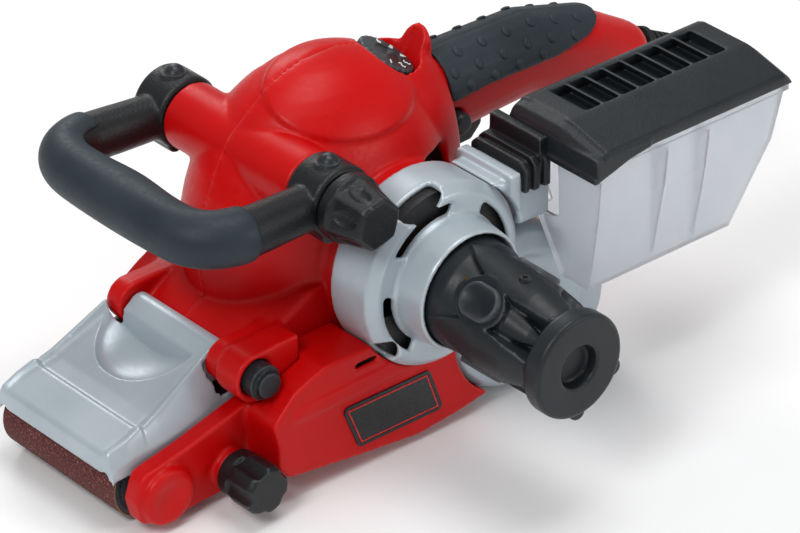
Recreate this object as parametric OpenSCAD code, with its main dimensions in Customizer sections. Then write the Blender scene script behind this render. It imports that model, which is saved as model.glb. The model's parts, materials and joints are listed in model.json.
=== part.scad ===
// Handheld belt sander, 75 x 533 mm belt, with a tilting front handle and a dust box.
// +X points forward, +Y to the operator's left, +Z up. The origin lies on the sanding face,
// midway between the two rollers. Millimetres.

/* [Sanding belt] */
// Width of the sanding belt
belt_w = 75; // [70:1:78]
// Distance between the roller axes
roller_gap = 209; // [206:1:212]
// Outer radius of the belt on the front roller
front_r = 16.5; // [16:0.5:17]
// Outer radius of the belt on the drive roller
rear_r = 20; // [19.5:0.5:20.5]
// Belt thickness
belt_t = 0.9; // [0.7:0.1:1]

/* [Body] */
// Wall of the plastic housing
wall = 2.6; // [2.2:0.2:3]
// Height of the motor shaft over the sanding face
motor_z = 80; // [79:0.5:81]
// Half length of the body dome
dome_a = 66; // [65:1:67]
// Half width of the body dome
dome_b = 47.5; // [46.5:0.5:49]
// Half height of the body dome
dome_c = 74; // [72:1:76]

/* [Motor] */
// Outer radius of the grey motor housing
ring_r = 42; // [41.5:0.5:42.5]
// Length the end cap stands out from the motor housing
nose_l = 72; // [70:1:74]

/* [Handles] */
// Distance from the handle tube to the front grip
handle_reach = 67; // [64:1:70]
// Radius of the front grip
grip_r = 12; // [11:0.5:12.5]
// Radius of the handle tube
tube_r = 15.2; // [15:0.1:15.6]

/* [Dust box] */
// Length of the dust box lid
box_l = 114; // [112:1:116]
// Height of the dust box under its lid
box_h = 66; // [64:1:67]

/* [View] */
// Sub-part to draw

/* [Hidden] */

$fn = 64;
eps = 0.01;
red = [0.78, 0.02, 0.03];
black = [0.09, 0.10, 0.11];
grey = [0.68, 0.72, 0.75];
soft = [0.20, 0.24, 0.27];
steel = [0.62, 0.63, 0.65];
copper = [0.72, 0.40, 0.20];

front_x = roller_gap / 2;
rear_x = -roller_gap / 2;
half_w = belt_w / 2;
motor_x = -27;
hinge_x = 58.5;
hinge_z = 56;
hinge_r = 5.5;
tube_x = 15;
tube_z = 123.6;
grip_x = tube_x + handle_reach;
grip_z = 124.5;
arm_y = 49.7;
dome_x = -22;
dome_y = -0.5;
dome_z = 82;
neck_x = -78;
frame_y = half_w + 1.1;
plate_t = 2.4;
drive_y = 42.6;
side_y = 43.2;
drive_w = 7;
skirt_y = 70;
ring_y0 = 50;
ring_y1 = 76;
collar_y = 91;
nose_y0 = 84;
nose_y1 = nose_y0 + nose_l + 1;
nose_drop = 6;
end_r = 23.5;
lid_z = 124;
box_x1 = -82;
box_x0 = box_x1 - box_l;
box_y0 = 56;
box_y1 = 103;
knob_x = 71.5;
knob_z = 16.5;
lever_x = 40;
lever_z = 16.5;
shaft_r = 4;
small_pulley_r = 6.4;
large_pulley_r = 13;
run = 0.04;
lock_x = -84.5;
lock_z = 108;
drum_x = -76;
drum_z = 42;
drum_r = 38.5;
drum_y = 68;

// cylinder along +Y from y0, length l
module ycyl(x, y0, z, r, l, r2 = -1) {
  translate([x, y0, z]) rotate([-90, 0, 0]) cylinder(r1 = r, r2 = r2 < 0 ? r : r2, h = l);
}
// ring along +Y
module yring(x, y0, z, ro, ri, l) {
  difference() {
    ycyl(x, y0, z, ro, l);
    ycyl(x, y0 - 1, z, ri, l + 2);
  }
}
// cylinder along +X from x0
module xcyl(x0, y, z, r, l) {
  translate([x0, y, z]) rotate([0, 90, 0]) cylinder(r = r, h = l);
}
// flat XZ outline given the +Y thickness l
module slab(y0, l) {
  translate([0, y0 + l, 0]) rotate([90, 0, 0]) linear_extrude(height = l) children();
}
// rounded XZ outline from a point list
module soft_poly(pts, r) {
  offset(r = r, $fn = 32) offset(delta = -r) polygon(pts);
}
module box(lo, hi) {
  translate(lo) cube(hi - lo);
}
// compression spring as stacked round rings joined by a thin rod
module coil(n, pitch, r, wire) {
  for (i = [0 : n - 1]) translate([0, 0, i * pitch])
    rotate_extrude() translate([r, 0]) circle(r = wire, $fn = 16);
  translate([r, 0, 0]) cylinder(r = wire * 0.8, h = (n - 1) * pitch, $fn = 16);
}
// pan head screw along +Z from its head underside, with a cross recess
module pan_screw(r_head, h_head, r_shank, l) {
  difference() {
    union() {
      cylinder(r1 = r_head, r2 = r_head * 0.75, h = h_head);
      translate([0, 0, -l]) cylinder(r = r_shank, h = l + eps);
    }
    for (a = [0, 90]) rotate(a)
      translate([-r_head * 0.5, -r_head * 0.1, h_head * 0.45]) cube([r_head, r_head * 0.2, h_head]);
  }
}

// ---------------------------------------------------------------- belt and rollers
module belt_outline(d) {
  hull() {
    translate([front_x, front_r]) circle(r = front_r - d, $fn = 96);
    translate([rear_x, rear_r]) circle(r = rear_r - d, $fn = 96);
  }
}
module sanding_belt() color([0.33, 0.14, 0.11]) slab(-half_w, belt_w) difference() {
  belt_outline(0);
  belt_outline(belt_t);
}
roller_r = front_r - belt_t - 0.3;
drive_r = rear_r - belt_t - 0.3;
module front_roller() color(black) difference() {
  union() {
    ycyl(front_x, -half_w, front_r, roller_r, belt_w);
    ycyl(front_x, -half_w - 0.9, front_r, roller_r - 2.4, belt_w + 1.8);
  }
  ycyl(front_x, -half_w - 2, front_r, 9.04, belt_w + 4);
}
module roller_bearings() color(steel)
  for (y = [-35, 28]) yring(front_x, y, front_r, 9, shaft_r, 7);
module front_axle() color(steel) union() {
  ycyl(front_x, -frame_y - 4, front_r, shaft_r, 2 * frame_y + 8);
  ycyl(front_x, -28, front_r, shaft_r + 1.4, 56);
}
module roller_yoke() color(grey) difference() {
  union() {
    for (s = [-1, 1]) box([76, s > 0 ? frame_y + 0.2 : -frame_y - 2.8, 8],
                          [front_x + 7, s > 0 ? frame_y + 2.8 : -frame_y - 0.2, 25]);
    box([76, -frame_y - 1, 9], [82, frame_y + 1, 24]);
    xcyl(48, 0, front_r, 5, 30);
  }
  ycyl(front_x, -60, front_r, shaft_r, 120);
}
module tension_spring() color(steel) translate([71.6, 0, front_r]) rotate([0, -90, 0]) coil(5, 3.4, 6.6, 0.7);
module tension_lever() color(red) difference() {
  union() {
    ycyl(lever_x, -frame_y - 7.6, lever_z, 8, 5);
    slab(-frame_y - 7.6, 4) soft_poly([[lever_x + 4, 9], [lever_x + 4, 24], [lever_x - 16, 22],
      [lever_x - 26, 19], [lever_x - 26, 12], [lever_x - 16, 11]], 2);
    box([lever_x - 26, -frame_y - 11, 12.6], [lever_x - 20, -frame_y - 4, 18.4]);
  }
  ycyl(lever_x, -frame_y - 12, lever_z, 3.06, 20);
}
module lever_pin() color(steel) union() {
  ycyl(lever_x, -frame_y - 8.4, lever_z, 3, 12);
  ycyl(lever_x, -frame_y - 9.4, lever_z, 5.4, 1.4);
}
module drive_roller() color(grey) union() {
  yring(rear_x, -half_w + 0.4, rear_r, 14.6, 12.2, belt_w - 0.8);
  for (y = [-half_w + 0.4, -2, half_w - 4.4]) ycyl(rear_x, y, rear_r, 12.4, 4);
  ycyl(rear_x, -frame_y - 3.4, rear_r, shaft_r, 2 * frame_y + 15.2);
}
module roller_sleeve() color([0.12, 0.12, 0.12]) difference() {
  ycyl(rear_x, -half_w + 0.4, rear_r, drive_r, belt_w - 0.8);
  ycyl(rear_x, -half_w - 1, rear_r, 14.6, belt_w + 2);
  for (i = [0 : 11]) translate([rear_x, 0, rear_r]) rotate([0, i * 30, 0])
    translate([drive_r - 0.6, -half_w, -0.6]) cube([2, belt_w, 1.2]);
}
module drive_bearings() color(steel)
  for (y = [-frame_y - plate_t, frame_y]) yring(rear_x, y, rear_r, 8, shaft_r + run, plate_t);
module large_pulley() color(black) difference() {
  union() {
    ycyl(rear_x, drive_y - 0.4, rear_r, large_pulley_r, drive_w + 0.8);
    for (y = [drive_y - 1, drive_y + drive_w]) ycyl(rear_x, y, rear_r, large_pulley_r + 1.4, 1);
  }
  ycyl(rear_x, 30, rear_r, shaft_r, 40);
  for (i = [0 : 5]) translate([rear_x, 0, rear_r]) rotate([0, i * 60, 0])
    ycyl(8.6, 30, 0, 2.2, 40);
}
module drive_outline(d) {
  hull() {
    translate([rear_x, rear_r]) circle(r = large_pulley_r + 0.3 + d, $fn = 72);
    translate([motor_x, motor_z]) circle(r = small_pulley_r + 0.3 + d, $fn = 48);
  }
}
module toothed_belt() color([0.10, 0.10, 0.10]) slab(drive_y, drive_w) difference() {
  drive_outline(1.4);
  drive_outline(0);
}
module motor_pulley() color(steel) difference() {
  union() {
    ycyl(motor_x, drive_y - 0.4, motor_z, small_pulley_r, drive_w + 0.8);
    for (y = [drive_y - 1, drive_y + drive_w]) ycyl(motor_x, y, motor_z, small_pulley_r + 1.6, 1);
  }
  ycyl(motor_x, 30, motor_z, shaft_r, 40);
}

// ---------------------------------------------------------------- chassis
module belt_frame() color(grey) difference() {
  union() {
    box([-80, -half_w + 3, 3.6], [72, half_w - 3, 27]);
    for (s = [-1, 1]) slab(s > 0 ? frame_y : -frame_y - plate_t, plate_t)
      soft_poly([[-118, 8], [-118, 30], [-60, 31], [42, 29], [46, 20.6], [70, 20.6], [70, 6], [-100, 6]], 3);
    for (x = [-72, -20, 30]) box([x, -frame_y, 8], [x + 8, frame_y, 26]);
    box([62, -frame_y, 8], [70, frame_y, 20]);
    ycyl(lever_x, -frame_y - 2.4, lever_z, 6, 6);
  }
  for (x = [-62, -8]) box([x, -half_w + 6, 8], [x + 40, half_w - 6, 40]);
  xcyl(44, 0, front_r, 5 + run, 40);
  xcyl(54, 0, front_r, 7.8, 40);
  box([40, -30, 8], [56, 30, 40]);
  for (y = [-60, 30]) ycyl(rear_x, y, rear_r, 8, 30);
  ycyl(lever_x, -60, lever_z, 3, 34);
  platen_holes(3, 5);
}
module platen_holes(z, h) {
  for (x = [-66, 0, 58]) for (y = [-14, 14]) translate([x, y, z]) cylinder(r = 2, h = h);
}
module platen() color(steel) difference() {
  union() {
    box([-78, -half_w + 1.5, 2.4], [80, half_w - 1.5, 3.6]);
    box([-81.4, -20, 2.4], [-80.1, 20, 12]);
    box([-81.4, -20, 2.4], [-77, 20, 3.6]);
  }
  platen_holes(0, 10);
}
module graphite_pad() color([0.16, 0.16, 0.17]) box([-78, -half_w + 1.5, 1.3], [80, half_w - 1.5, 2.4]);
module platen_screws() color(steel) platen_holes(2.5, 5.4);

// ---------------------------------------------------------------- red housing
// facets of the shell: finer outside than inside
function smooth(d) = d > 0.5 ? 24 : 56;
module dome(d) {
  translate([dome_x, dome_y, dome_z])
    scale([(dome_a - d) / 50, (dome_b - d) / 50, (dome_c - d) / 50]) sphere(r = 50, $fn = smooth(d));
}
module lower_outline(d) {
  offset(delta = -d) soft_poly([[55, 42.6], [64.6, 48.4], [45, 62], [20, 76], [-60, 84], [-96, 72],
    [-118, 56], [-120, 44]], 6);
}
module knuckles(list, d) {
  hull() for (p = list) translate([p[0], 0, p[1]]) sphere(r = p[2] - d, $fn = d > 0.5 ? 10 : 20);
}
module handle_chain(d) {
  neck = [[-64, 120, 16.5], [-64, 109, 16]];
  high = [[-134, 119.6, 15.8], [-131, 112.5, 15.6]];
  mid = [[-168, 110.6, 15.2], [-163, 104, 14.8]];
  tail = [[-194, 96.4, 14.2], [-190, 91.6, 13.8]];
  knuckles(concat(neck, high), d);
  knuckles(concat(high, mid), d);
  knuckles(concat(mid, tail), d);
}
module dome_cut(d) {
  difference() {
    union() {
      dome(d);
      // fuller crown towards the rear handle, with a small crest
      translate([-54, 0.5, 97.5]) scale([(42 - d) / 50, (32.5 - d) / 50, (51.5 - d) / 50])
        sphere(r = 50, $fn = smooth(d));
      translate([-76, 2, 142]) scale([(10 - d) / 10, (7 - d) / 10, (10 - d) / 10]) sphere(r = 10);
    }
    box([-200, -80, 0], [neck_x + d, 80, 200]);
    box([-200, -80, -20], [200, 80, 44]);
  }
}
module body_solid(d) {
  dome_cut(d);
  slab(-43 + d, 86 - 2 * d) lower_outline(d);
  handle_chain(d);
  ycyl(tube_x, -40 + d, tube_z, tube_r - d, 80 - 2 * d);
  ycyl(motor_x, 3, motor_z, 38 - d, ring_y0 - 3 + (d > 0.5 ? 1 : 0));
}
// speed dial sits in the crown, its face along the surface
module dial_frame() translate([-57, 3.5, 145.6]) rotate([-13, -29, 0]) children();
dial_r = 13;
// bosses, bearing seats and webs inside the shell
module inner_works() {
  $fn = 28;
  for (p = screw_spots) ycyl(p[0], -44, p[1], 4.4, 88);
  ycyl(tube_x, -39, tube_z, 6.6, 78);
  // trough behind the guard hinge, discs behind the handle ends, cup of the speed dial
  ycyl(hinge_x, -28, hinge_z, 9, 56);
  for (y = [-40, 37]) ycyl(tube_x, y, tube_z, 19.4, 3);
  dial_frame() translate([0, 0, -8.6]) cylinder(r = dial_r + 3.4, h = 30);
  difference() {
    ycyl(motor_x, -10, motor_z, 14, 9);
    ycyl(motor_x, -8, motor_z, 11.12, 9);
  }
  for (a = [45, 135, 225, 315]) translate([motor_x, 0, motor_z]) rotate([0, -a, 0])
    box([12.5, -9.6, -1.4], [90, -1.4, 1.4]);
  yring(motor_x, 31, motor_z, 37.5, 13.12, 2.4);
  yring(motor_x, 30, motor_z, 16, 13.12, 7);
}
hood_pts = [[hinge_x + 11, hinge_z], [hinge_x + 6, 46], [hinge_x - 3, 43], [36, 43], [36, 68], [hinge_x, hinge_z + 11]];
module hood_outline() {
  translate([hinge_x, hinge_z]) circle(r = 11);
  polygon(hood_pts);
}
module red_shell() {
  $fn = 44;
  difference() {
    union() {
      difference() {
        body_solid(0);
        body_solid(wall);
      }
      intersection() {
        inner_works();
        body_solid(0.3);
      }
      // raised oval panel on the crown
      intersection() {
        difference() {
          dome(-1.6);
          dome(0.8);
        }
        translate([-22, 4, 120]) rotate([-16, -6, 0])
          scale([1, 0.76, 1]) cylinder(r = 36, h = 60, $fn = 48);
      }
      // hinge ears and button hood
      for (y = [-34, 32]) {
        ycyl(hinge_x, y, hinge_z, 9.5, 10);
        slab(y, 10) polygon([[hinge_x + 6, hinge_z - 8], [hinge_x - 2, 44.4], [30, 44], [30, 66],
          [hinge_x, hinge_z + 9.4]]);
      }
      slab(41, 14) difference() {
        hood_outline();
        translate([hinge_x, hinge_z]) circle(r = 7);
      }
    }
    ycyl(hinge_x, -60, hinge_z, 3.05, 120);
    ycyl(hinge_x, 43, hinge_z, 8.2, 30);
    ycyl(hinge_x, -60, hinge_z, 5.5, 24.7);
    // room for the guard barrel and the turning handle ends
    ycyl(hinge_x, barrel_y0 - 0.4, hinge_z, hinge_r + 0.9, barrel_l + 0.8);
    for (y = [-70.1, 40.1]) ycyl(tube_x, y, tube_z, 16.8, 30);
    // pocket of the speed dial and the way for its shaft
    dial_frame() translate([0, 0, -6.4]) cylinder(r = dial_r + 1.2, h = 30);
    dial_frame() translate([0, 0, -30]) cylinder(r = 3.6, h = 40);
    // clamp bolt way through the tube
    ycyl(tube_x, -60, tube_z, 4.3, 120);
    // motor shaft and motor bore
    ycyl(motor_x, 44, motor_z, 38 - wall - 0.2, 20);
    // toothed belt slot, belt mouth below
    slab(40.6, 12) drive_outline(5);
    box([-112, -40, 30], [60, 40, 42.9]);
    // screw holes with head recesses on the far side
    for (p = screw_spots) {
      ycyl(p[0], -9.1, p[1], 2.05, 16);
      ycyl(p[0], -60, p[1], 3.6, 51);
    }
    // trigger slot, lock button hole, cable gland hole
    box([-112, -5.4, 80], [-90, 5.4, 108]);
    ycyl(lock_x, 8, lock_z, 5.2, 20);
    gland_frame() cylinder(r = 6, h = 30, center = true);
    gland_frame() translate([0, 0, 2.9]) cylinder(r = 8.3, h = 20);
    // duct throat
    box([-66, 30, 90], [-40, 60, 112]);
  }
}
module gland_frame() translate([-204, 0, 96]) rotate([0, -108, 0]) children();
module housing_left() color(red) intersection() {
  red_shell();
  box([-260, 0, 0], [140, 90, 200]);
}
module housing_right() color(red) intersection() {
  red_shell();
  box([-260, -90, 0], [140, 0, 200]);
}
screw_spots = [[-100, 62], [-12, 146], [38, 60], [-132, 117], [-180, 99]];
// self tapping screws of the body halves, the end cap and the drive cover
module housing_screws() color(steel) {
  for (p = screw_spots) union() {
    ycyl(p[0], -9, p[1], 1.9, 15);
    ycyl(p[0], -11, p[1], 3.3, 2);
  }
  for (a = lobe_a) at_brush(a) translate([21, nose_y0 + 41, -0.2]) rotate([0, 90, 0])
    pan_screw(2.8, 2, 1.6, 4);
  for (p = cover_spots) translate([p[0], drum_y, p[1]]) rotate([-90, 0, 0])
    pan_screw(3.4, 2.2, 1.8, 5);
}
module cable_gland() color(black) gland_frame() difference() {
  union() {
    translate([0, 0, -7]) cylinder(r = 5.9, h = 12);
    translate([0, 0, 3]) cylinder(r = 8, h = 3);
    translate([0, 0, 6]) cylinder(r1 = 6.8, r2 = 4.6, h = 16);
  }
  translate([0, 0, -10]) cylinder(r = 3.2, h = 40);
  for (z = [9, 13, 17]) translate([0, 0, z]) difference() {
    cylinder(r = 9, h = 1.4);
    cylinder(r = 4.3, h = 1.4);
  }
}
// near side housing with nose arm and the seat of the tracking knob
skirt_pts = [[-60, 30], [-60, 9], [-40, 5.6], [-17, 3.4], [20, 7.4], [54, 12], [59.4, 19], [59.6, 29],
  [62, 40], [50, 52], [34, 58], [-60, 58]];
module side_housing() color(red) difference() {
  union() {
    difference() {
      slab(side_y, skirt_y - side_y) soft_poly(skirt_pts, 5);
      slab(side_y - 1, skirt_y - side_y - 1.6) offset(delta = -wall) soft_poly(skirt_pts, 5);
    }
    // nose arm and boss
    slab(frame_y + 3.2, 9) soft_poly([[54, 6], [front_x - 4, 3.2], [front_x + 12, 6], [front_x + 15, 17],
      [front_x + 11, 29], [92, 34], [56, 44]], 5);
    ycyl(front_x, frame_y + 5, front_r, 12.8, 10);
    ycyl(front_x, frame_y + 15, front_r, 12.8, 1.2, 11.6);
    ycyl(knob_x, frame_y + 5, knob_z, 8, 11);
    // ridge along the side
    slab(skirt_y - 1, 2) soft_poly([[-56, 40], [54, 38], [48, 44], [-56, 48]], 2);
  }
  translate([front_x, frame_y + 31.4, front_r]) sphere(r = 17);
  ycyl(front_x, 30, front_r, shaft_r + 4.5, 16.5);
  ycyl(knob_x, 30, knob_z, 3, 60);
  // room for the motor housing, the drive, its cover, the body and the button hood
  ycyl(motor_x, 30, motor_z, ring_r + 0.3, 60);
  slab(30, 24) drive_outline(5);
  ycyl(drum_x, 30, drum_z, drum_r + 0.3, 60);
  box([-140, 30, 42.4], [70, side_y, 90]);
  slab(30, 25.4) offset(delta = 0.3) hood_outline();
  for (x = [-30, -12, 6]) box([x, skirt_y - 3, 50], [x + 12, skirt_y + 3, 52.4]);
}
module label_plate() color(black) difference() {
  slab(skirt_y, 0.7) soft_poly([[26, 34], [17, 12], [-30, 12], [-22, 34]], 2.4);
  slab(skirt_y + 0.4, 1) difference() {
    offset(delta = -1.6) soft_poly([[26, 34], [17, 12], [-30, 12], [-22, 34]], 2.4);
    offset(delta = -2.4) soft_poly([[26, 34], [17, 12], [-30, 12], [-22, 34]], 2.4);
  }
}
module rear_grip() color(soft) intersection() {
  difference() {
    handle_chain(-1.5);
    handle_chain(-0.02);
  }
  slab(-30, 60) soft_poly([[neck_x - 3, 160], [neck_x - 3, 117.5], [-100, 119], [-142, 118.6],
    [-164, 120.4], [-176, 124], [-186, 160]], 3);
}

// ---------------------------------------------------------------- motor
module motor_housing() color(grey) difference() {
  union() {
    ycyl(motor_x, ring_y0, motor_z, ring_r, ring_y1 - ring_y0 - 4);
    ycyl(motor_x, ring_y1 - 4, motor_z, ring_r, 4, ring_r - 4);
    ycyl(motor_x, ring_y1 - 1, motor_z, 29, collar_y - ring_y1 + 1, 27.2);
  }
  ycyl(motor_x, ring_y0 - 1, motor_z, ring_r - wall, ring_y1 - ring_y0 - 1.6);
  ycyl(motor_x, ring_y0, motor_z, 25.4, 60);
  // curved air slots between four bridges
  for (a = [20, 110, 200, 290]) translate([motor_x, 0, motor_z]) rotate([0, -a, 0])
    difference() {
      yring(0, ring_y1 - 8, 0, 34.6, 29.6, 20);
      for (b = [0, 90]) rotate([0, b, 0]) box([-60, 0, -9], [60, 120, 9]);
      box([-60, 0, -60], [0, 120, 60]);
      box([-60, 0, -60], [60, 120, 0]);
    }
  // thumb scoop and screw pocket
  ycyl(motor_x + 14, ring_y1 - 10, motor_z + 44, 13, 30);
  ycyl(motor_x + 33, ring_y1 - 9, motor_z - 26, 7, 30);
}
stator_r = ring_r - wall - 0.02;
module stator_core() color(steel) difference() {
  yring(motor_x, 53, motor_z, stator_r, 19.6, 18);
  for (s = [-1, 1]) translate([motor_x, 0, motor_z])
    box([s > 0 ? 18 : -31, 50, -10], [s > 0 ? 31 : -18, 80, 10]);
}
module stator_windings() color(copper) for (y = [51.4, 71])
  yring(motor_x, y, motor_z, 24, 20.4, y > 60 ? 9 : 1.6);
module armature() color(steel) union() {
  ycyl(motor_x, -8, motor_z, shaft_r, 130);
  ycyl(motor_x, 53.2, motor_z, 19, 18);
}
module armature_winding() color(copper) for (y = [51.4, 71.2])
  yring(motor_x, y, motor_z, 15.5, shaft_r, y > 60 ? 12 : 1.8);
module commutator() color(copper) difference() {
  yring(motor_x, 92, motor_z, 11, shaft_r, 18);
  for (i = [0 : 11]) translate([motor_x, 0, motor_z]) rotate([0, i * 30, 0])
    box([9.6, 93.5, -0.3], [12, 112, 0.3]);
}
module blower_fan() color(black) union() {
  yring(motor_x, 4, motor_z, 12, shaft_r, 16);
  yring(motor_x, 4, motor_z, 33, shaft_r, 2);
  for (i = [0 : 9]) translate([motor_x, 0, motor_z]) rotate([0, i * 36, 0])
    box([10, 5.8, -0.9], [32, 20, 0.9]);
}
module motor_bearings() color(steel) for (p = [[-8, 7, 11], [30, 7, 13], [113, 7, 9.5]])
  yring(motor_x, p[0], motor_z, p[2], shaft_r + run, p[1]);
brush_a = [42, 222];
module at_brush(a) translate([motor_x, 0, motor_z]) rotate([0, -a, 0]) children();
module carbon_brushes() color([0.15, 0.15, 0.16]) for (a = brush_a) at_brush(a)
  box([11.3, 96, -3], [17, 104, 3]);
module brush_holders() color([0.75, 0.60, 0.30]) for (a = brush_a) at_brush(a) difference() {
  box([12.6, 94.6, -4.4], [21, 105.2, 4.4]);
  box([10, 95.9, -3.1], [30, 104.1, 3.1]);
}
module brush_springs() color(steel) for (a = brush_a) at_brush(a)
  translate([17.5, 100, 0]) rotate([0, 90, 0]) coil(2, 1.6, 2, 0.4);
lobe_a = [-3, 87, 177, 267];
cap_a = [42, 132, 222, 312];
module motor_end_cap() color(black) difference() {
  union() {
    // core
    hull() {
      ycyl(motor_x, nose_y0, motor_z, 24.6, 12);
      ycyl(motor_x, nose_y0 + 38, motor_z - 3, 20.5, 1);
      ycyl(motor_x, nose_y1 - 12, motor_z - nose_drop, 14, 1);
    }
    // four petals that carry the screws
    for (a = lobe_a) intersection() {
      translate([motor_x, nose_y0 + 36, motor_z - 3]) rotate([0, -a, 0]) translate([11.4, 0, 0])
        scale([14.6, 30, 13]) sphere(r = 1, $fn = 64);
      ycyl(motor_x, nose_y0 + 6, motor_z - 3, 25.6, 56);
    }
    // housings of the brush caps
    for (a = cap_a) at_brush(a) translate([0, nose_y0 + 31, 0]) rotate([0, 90, 0])
      scale([1, 1.3, 1]) cylinder(r = 8.4, h = 23);
    // end ring on four webs
    ycyl(motor_x, nose_y1 - 10, motor_z - nose_drop, end_r - 1.5, 1.6, end_r);
    ycyl(motor_x, nose_y1 - 8.4, motor_z - nose_drop, end_r, 7);
    ycyl(motor_x, nose_y1 - 1.4, motor_z - nose_drop, end_r, 1.4, end_r - 1.4);
    for (a = lobe_a) translate([motor_x, 0, motor_z - nose_drop]) rotate([0, -a, 0])
      box([8, nose_y1 - 19, -5], [20.6, nose_y1 - 8, 5]);
    // side rest feet
    for (a = [205, 265]) translate([motor_x, 0, motor_z - nose_drop]) rotate([0, -a, 0])
      ycyl(end_r, nose_y1 - 8, 0, 4, 6);
  }
  ycyl(motor_x, nose_y1 - 6, motor_z - nose_drop, 9.6, 8);
  // hollow for the commutator and brush gear
  ycyl(motor_x, nose_y0 - 1, motor_z, 21.6, 27);
  ycyl(motor_x, nose_y0 + 20, motor_z, 9.5, 18);
  for (a = cap_a) at_brush(a) translate([0, nose_y0 + 31, 0])
    rotate([0, 90, 0]) translate([0, 0, 21.7]) scale([1, 1.3, 1]) cylinder(r = 7.2, h = 20);
  for (a = lobe_a) at_brush(a) translate([0, nose_y0 + 41, -0.2]) rotate([0, 90, 0]) {
    translate([0, 0, 21]) cylinder(r = 3, h = 20);
    translate([0, 0, 16]) cylinder(r = 1.6, h = 6);
  }
}
module oval(r) {
  hull() for (y = [-2, 2]) translate([0, y]) circle(r = r, $fn = 20);
}
module brush_caps() color([0.07, 0.08, 0.09]) for (a = cap_a) at_brush(a)
  translate([21.7, nose_y0 + 31, 0]) rotate([0, 90, 0]) difference() {
    linear_extrude(height = 2.6) oval(6.8);
    translate([0, 0, 1.8]) linear_extrude(height = 2) oval(5);
  }
cover_spots = [[-92, 20], [-96, 66]];
module belt_drive_cover() color(grey) difference() {
  union() {
    ycyl(drum_x, side_y, drum_z, drum_r, drum_y - 3 - side_y);
    ycyl(drum_x, drum_y - 3, drum_z, drum_r, 3, drum_r - 3);
    ycyl(rear_x, side_y, rear_r + 8, 26, 18);
  }
  difference() {
    union() {
      ycyl(drum_x, 30, drum_z, drum_r - wall, drum_y - wall - 30);
      ycyl(rear_x, 30, rear_r + 8, 26 - wall, 28.6);
    }
    for (p = cover_spots) ycyl(p[0], drum_y - 10, p[1], 4, 12);
  }
  for (p = cover_spots) ycyl(p[0], drum_y - 6, p[1], 1.8, 12);
  ycyl(motor_x, 30, motor_z, ring_r + 0.3, 60);
  box([-140, 30, -20], [0, 100, 3.5]);
  yring(drum_x, drum_y - 0.8, drum_z, 26, 24, 2);
}

// ---------------------------------------------------------------- dust extraction
module duct_outline(d) {
  soft_poly([[46 + d, 88 + d], [46 + d, 114 - d], [76 - d, 114 - d], [76 - d, 88 + d]], 4);
}
module dust_duct() color(grey) difference() {
  union() {
    translate([-84, 0, 0]) rotate([90, 0, 90]) linear_extrude(height = 44) duct_outline(0);
    box([-66, 44, 92], [-60, 78, 116]);
  }
  translate([-90, 0, 0]) rotate([90, 0, 90]) linear_extrude(height = 60) duct_outline(wall);
  ycyl(motor_x, 30, motor_z, ring_r + 0.3, 60);
  box([-60, 30, 70], [0, 44, 120]);
}
module dust_collar() color(black) difference() {
  union() {
    translate([-94, 0, 0]) rotate([90, 0, 90]) linear_extrude(height = 15) duct_outline(-2.4);
    for (i = [0 : 1]) translate([-82.4 + i * 2.6, 0, 0]) rotate([90, 0, 90])
      linear_extrude(height = 1.3) duct_outline(-3.6);
    box([-81.6, 45, 112], [-78, 77, 128]);
  }
  // open below in front of the box, so that the duct shows
  box([-86.4, 30, 70], [-60, 100, 104]);
  translate([-100, 0, 0]) rotate([90, 0, 90]) linear_extrude(height = 30) duct_outline(-0.3);
}
// tapered box solid: d is the inset
module box_body(d) {
  hull() {
    box([box_x0 + 4 + d, box_y0 - 2 + d, lid_z - 3], [box_x1 - 4 - d, box_y1 + 2 - d, lid_z]);
    box([box_x0 + 8 + d, box_y0 + d, lid_z - 26], [box_x1 - 5 - d, box_y1 - d, lid_z - 25]);
    box([box_x0 + 25 + d, box_y0 + 22 + d, lid_z - box_h + d], [box_x1 - 7 - d, box_y1 - 7 - d,
      lid_z - box_h + 1 + d]);
  }
}
module dust_box() color([0.82, 0.85, 0.88, 0.55]) difference() {
  union() {
    box_body(0);
    box([box_x0 + 2, box_y0 - 3, lid_z - 3], [box_x1 - 2, box_y1 + 3, lid_z]);
  }
  difference() {
    box_body(1.6);
    // moulded guide rails on the near wall
    for (x = [-150, -126]) box([x, box_y1 - 9, 40], [x + 1.4, box_y1 + 4, lid_z - 8]);
  }
  box([box_x0 + 6, box_y0 - 1, lid_z - 4], [box_x1 - 6, box_y1 + 1, lid_z + 4]);
  translate([-97, 0, 0]) rotate([90, 0, 90]) linear_extrude(height = 20) duct_outline(-2.45);
}
module dust_lid() color(black) difference() {
  union() {
    box([box_x0, box_y0 - 4, lid_z], [box_x1, box_y1 + 4, lid_z + 6]);
    hull() {
      box([box_x0, box_y0 - 4, lid_z + 5.9], [box_x1, box_y1 + 4, lid_z + 6]);
      box([box_x0 + 5, box_y0 + 1, lid_z + 10], [box_x1 - 5, box_y1 - 1, lid_z + 11]);
    }
    box([box_x0 + 7, box_y0, lid_z - 3], [box_x1 - 7, box_y1, lid_z]);
  }
  box([box_x0 + 9, box_y0 + 2, lid_z - 4], [box_x1 - 9, box_y1 - 2, lid_z + 3]);
  // eight slanted louvres
  for (i = [0 : 7]) translate([box_x0 + 14 + i * 11, box_y0 + 4, lid_z + 2]) rotate([0, -24, 0])
    cube([7, box_y1 - box_y0 - 14, 18]);
}
module dust_filter() color([0.93, 0.92, 0.88]) union() {
  box([box_x0 + 12, box_y0 + 5, lid_z + 2], [box_x1 - 12, box_y1 - 5, lid_z + 2.9]);
  for (i = [0 : 11]) box([box_x0 + 14 + i * 7.4, box_y0 + 6, lid_z - 3], [box_x0 + 16 + i * 7.4, box_y1 - 6, lid_z + 2]);
}

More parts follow.
